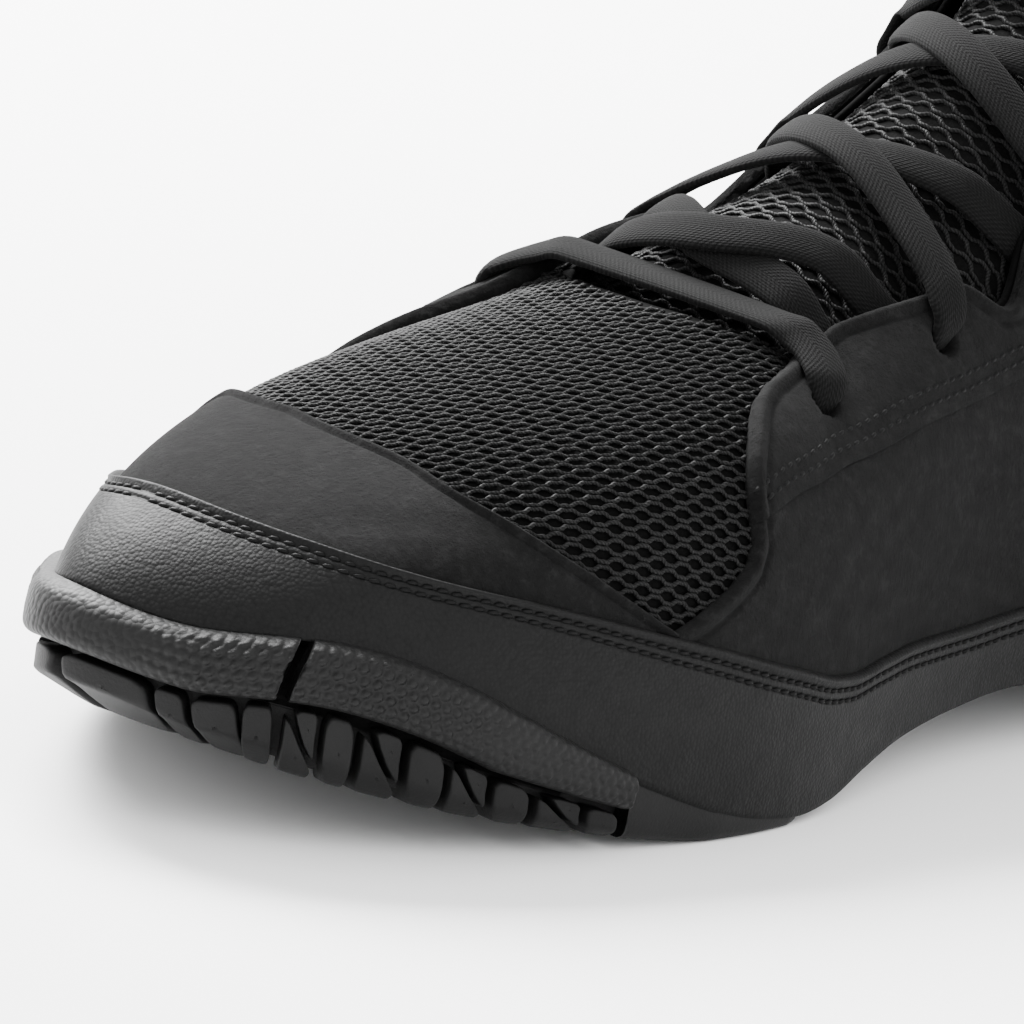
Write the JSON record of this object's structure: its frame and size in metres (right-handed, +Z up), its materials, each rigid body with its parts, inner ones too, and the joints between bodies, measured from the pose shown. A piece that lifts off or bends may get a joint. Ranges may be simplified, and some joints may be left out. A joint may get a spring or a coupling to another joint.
{
  "type": "wrestling shoe",
  "caption": "Low-profile black high-top wrestling shoe for the right foot: mesh vamp, suede panels, wraparound rand, split rubber outsole with side lugs, flat laces crossed over the tongue.",
  "frame": {"origin": "on the floor, in the middle of the flat under the ball of the foot", "axes": "+X from toe to heel, +Z up out of the floor, -Y to the medial side of this right shoe"},
  "size_m": [0.2877, 0.0993, 0.1629],
  "materials": {
    "mesh_fabric": "open black knit mesh over a dark lining",
    "suede": "brushed black suede",
    "rand_leather": "smooth black synthetic leather, satin",
    "sole_rubber": "matt black moulded rubber",
    "shank_foam": "matt black foam",
    "sock_cloth": "woven black cloth",
    "tongue_mesh": "coarse black spacer mesh",
    "lace_cord": "flat woven black lace"
  },
  "bodies": {
    "root": {"upper": "mesh_fabric", "rand": "rand_leather", "toe_cap": "suede", "quarter_medial": "suede", "quarter_lateral": "suede", "eyestay_medial": "suede", "eyestay_lateral": "suede", "tongue": "tongue_mesh", "insole": "sock_cloth", "shank": "shank_foam", "outsole_forefoot": "sole_rubber", "outsole_heel": "sole_rubber", "lace_bar": "lace_cord", "lace_cross_1": "lace_cord", "lace_cross_2": "lace_cord", "lace_cross_3": "lace_cord", "lace_cross_4": "lace_cord", "lace_cross_5": "lace_cord"}
  },
  "joints": []
}
